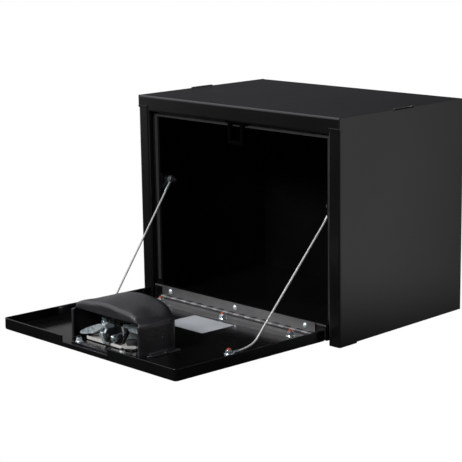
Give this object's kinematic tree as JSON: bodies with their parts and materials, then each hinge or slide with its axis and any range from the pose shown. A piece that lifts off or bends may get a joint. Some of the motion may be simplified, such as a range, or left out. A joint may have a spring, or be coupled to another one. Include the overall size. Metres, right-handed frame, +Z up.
{
  "type": "underbody tool box",
  "caption": "Steel underbody truck tool box with a drop-down door on a piano hinge, two stay cables and a covered paddle latch.",
  "frame": {"origin": "centre of the underside of the cabinet's bottom panel", "axes": "+X to the right seen from the front, front towards -Y, +Z up"},
  "size_m": [0.461, 0.6244, 0.3595],
  "materials": {
    "black_powder_coat": "semi-gloss black powder coat",
    "rubber": "matt black rubber",
    "black_moulding": "fine-grained black moulding",
    "dark_steel": "dark coated steel",
    "label": "pale blank label",
    "cable": "wire rope under a clear sheath",
    "stainless": "satin stainless steel",
    "zinc": "bright zinc plate"
  },
  "bodies": {
    "cabinet": {"cabinet_wrap": "black_powder_coat", "side_panel_left": "black_powder_coat", "side_panel_right": "black_powder_coat", "door_seal": "rubber", "striker_loop": "black_powder_coat", "hinge_leaf_sill": "stainless", "hinge_pin": "stainless", "sill_rivet_left": "stainless", "sill_rivet_middle": "stainless", "sill_rivet_right": "stainless", "cable_tab_left": "black_powder_coat", "cable_bolt_upper_left": "zinc", "cable_nut_upper_left": "zinc", "cable_eye_upper_left": "zinc", "cable_left": "cable", "cable_tab_right": "black_powder_coat", "cable_bolt_upper_right": "zinc", "cable_nut_upper_right": "zinc", "cable_eye_upper_right": "zinc", "cable_right": "cable"},
    "door": {"door_pan": "black_powder_coat", "hinge_leaf_door": "stainless", "hinge_bolt_left": "zinc", "hinge_nut_left": "zinc", "hinge_bolt_middle": "zinc", "hinge_nut_middle": "zinc", "hinge_bolt_right": "zinc", "hinge_nut_right": "zinc", "cable_bolt_lower_left": "zinc", "cable_nut_lower_left": "zinc", "cable_eye_lower_left": "zinc", "cover_rivet_left": "stainless", "cable_bolt_lower_right": "zinc", "cable_nut_lower_right": "zinc", "cable_eye_lower_right": "zinc", "cover_rivet_right": "stainless", "latch_bezel": "stainless", "latch_plate": "zinc", "latch_strap": "dark_steel", "latch_case": "zinc", "claw_pin": "zinc", "pawl_pin": "zinc", "paddle_pin": "stainless", "bar_guide": "zinc", "lever_post": "zinc", "link_plate": "zinc", "stop_bumper": "rubber", "lock_barrel": "zinc", "latch_cover": "black_moulding", "blank_label": "label", "stud_nut_front_left": "zinc", "stud_nut_front_right": "zinc", "stud_nut_rear_left": "zinc", "stud_nut_rear_right": "zinc"},
    "claw": {"claw": "zinc"},
    "pawl": {"pawl": "zinc"},
    "paddle": {"paddle": "stainless"},
    "lever": {"release_lever": "zinc"},
    "lock": {"lock_plug": "zinc"}
  },
  "joints": [
    {"name": "door_hinge", "type": "hinge", "parent": "cabinet", "child": "door", "pos_m": [0, -0.1556, 0.0069], "axis": [-1, 0, 0], "range_deg": [0, 88.5], "deforming": ["cable_left", "cable_right"]},
    {"name": "claw_turn", "type": "hinge", "parent": "door", "child": "claw", "pos_m": [0, -0.4212, 0.02566], "axis": [1, 0, 0], "range_deg": [0, 53.7], "stiffness_Nm_per_rad": 0.05, "springref_deg": -28.65},
    {"name": "paddle_pull", "type": "hinge", "parent": "door", "child": "paddle", "pos_m": [0, -0.40962, 0.00945], "axis": [-1, 0, 0], "range_deg": [0, 13], "stiffness_Nm_per_rad": 0.5, "springref_deg": -17.19},
    {"name": "pawl_turn", "type": "hinge", "parent": "door", "child": "pawl", "pos_m": [0, -0.39132, 0.02088], "axis": [-1, 0, 0], "range_deg": [0, 24]},
    {"name": "lever_turn", "type": "hinge", "parent": "door", "child": "lever", "pos_m": [-0.046, -0.39329, 0.02193], "axis": [0, 0.0262, 0.9997], "range_deg": [0, 7]},
    {"name": "lock_turn", "type": "hinge", "parent": "door", "child": "lock", "pos_m": [0.062, -0.38934, 0.01982], "axis": [0, 0.0262, 0.9997], "range_deg": [0, 90]}
  ],
  "couplings": [
    {"joint": "pawl_turn", "follows": "paddle_pull", "ratio": 1.8},
    {"joint": "lever_turn", "follows": "paddle_pull", "ratio": 0.5}
  ]
}
